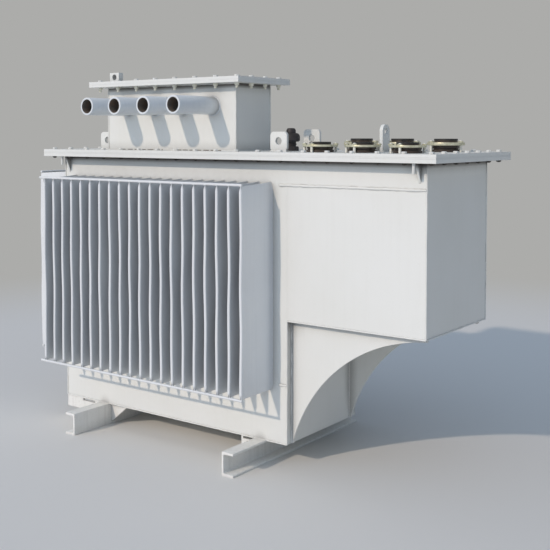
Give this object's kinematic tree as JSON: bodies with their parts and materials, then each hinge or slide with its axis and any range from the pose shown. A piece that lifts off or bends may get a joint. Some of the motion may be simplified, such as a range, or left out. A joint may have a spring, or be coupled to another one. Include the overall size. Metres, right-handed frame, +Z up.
{
  "type": "power transformer",
  "caption": "Oil-filled power transformer: finned steel tank with side extension, bolted cover, cable turret with outlet pipes and bushing wells, on channel skids.",
  "frame": {"origin": "on the floor, under the middle of the whole transformer's box", "axes": "+Z up, +X to the side extension, -Y to the side of the outlet pipes"},
  "size_m": [1.82, 0.775, 1.355],
  "materials": {
    "tank_paint": "satin",
    "fin_paint": "satin",
    "pipe_paint": "satin",
    "skid_paint": "satin",
    "gasket_rubber": "matte",
    "bushing_resin": "gloss",
    "zinc_plate": "satin",
    "valve_plastic": "matte"
  },
  "bodies": {
    "root": {"tank_floor": "tank_paint", "tank_front_wall": "tank_paint", "tank_back_wall": "tank_paint", "tank_left_wall": "tank_paint", "tank_right_wall": "tank_paint", "extension_front_wall": "tank_paint", "extension_back_wall": "tank_paint", "extension_floor": "tank_paint", "extension_end_wall": "tank_paint", "gusset_front": "tank_paint", "gusset_back": "tank_paint", "tank_rim": "tank_paint", "rim_brackets": "tank_paint", "cover_plate": "tank_paint", "turret_front_wall": "tank_paint", "turret_back_wall": "tank_paint", "turret_left_wall": "tank_paint", "turret_right_wall": "tank_paint", "turret_rim": "tank_paint", "turret_cover": "tank_paint", "foot_plate_front": "tank_paint", "foot_plate_back": "tank_paint", "skid_ribs": "tank_paint", "lifting_lug_front_left": "tank_paint", "lifting_lug_front_right": "tank_paint", "lifting_lug_back_left": "tank_paint", "lifting_lug_back_right": "tank_paint", "eye_plate": "tank_paint", "vent_lug": "tank_paint", "fin_panel_front": "fin_paint", "fin_panel_back": "fin_paint", "fin_panel_left": "fin_paint", "tie_bars_front": "fin_paint", "tie_bars_back": "fin_paint", "tie_bars_left": "fin_paint", "outlet_pipe_1": "pipe_paint", "outlet_pipe_2": "pipe_paint", "outlet_pipe_3": "pipe_paint", "outlet_pipe_4": "pipe_paint", "skid_left": "skid_paint", "skid_right": "skid_paint", "cover_gasket": "gasket_rubber", "bushing_wells_front": "bushing_resin", "bushing_wells_back": "bushing_resin", "clamp_rings_front": "zinc_plate", "clamp_rings_back": "zinc_plate", "relief_valve": "valve_plastic"}
  },
  "joints": []
}
